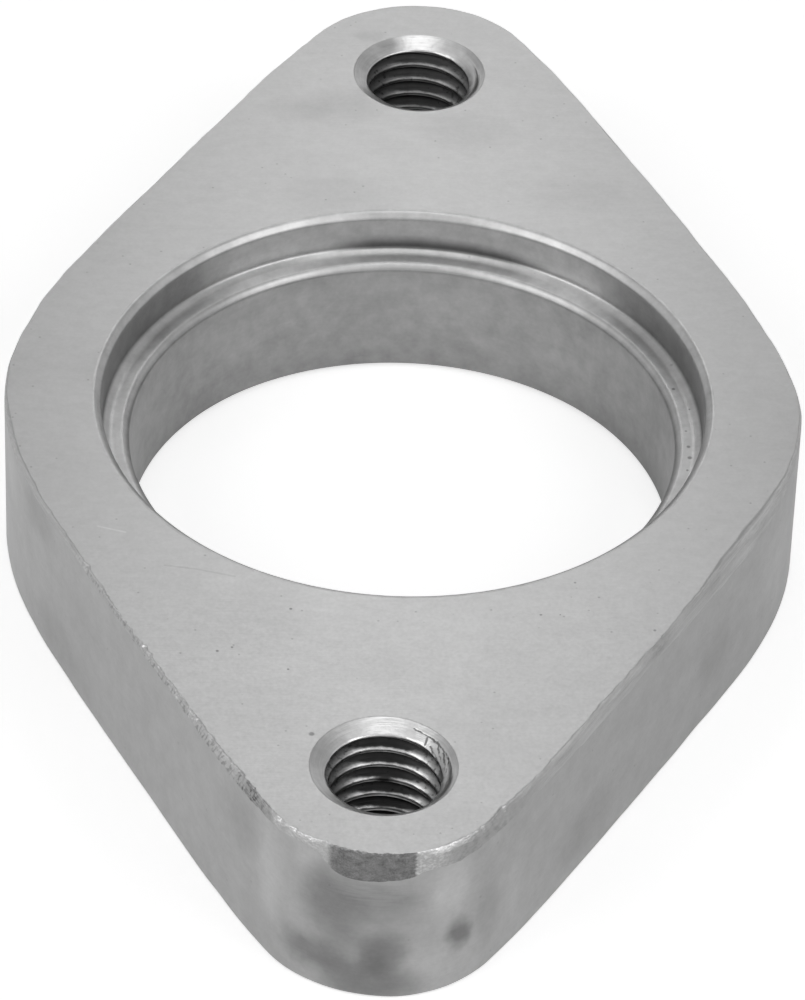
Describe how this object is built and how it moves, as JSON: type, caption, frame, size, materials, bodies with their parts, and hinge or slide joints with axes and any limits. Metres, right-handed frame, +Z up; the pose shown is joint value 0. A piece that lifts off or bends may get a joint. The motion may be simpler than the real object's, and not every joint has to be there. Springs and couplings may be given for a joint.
{
  "type": "wastegate flange",
  "caption": "Diamond-shaped plate flange with a stepped round bore and a tapped, countersunk hole near each pointed end.",
  "frame": {"origin": "on the bore's axis, at the underside that the plate rests on", "axes": "+Z up along the bore, towards the socket side; +Y along the line of the two tapped holes, the plate's long way; +X across the plate"},
  "size_m": [0.064, 0.1096, 0.0143],
  "materials": {
    "stainless": "satin machined stainless, hand-filed edges"
  },
  "bodies": {
    "root": {"flange": "stainless"}
  },
  "joints": []
}
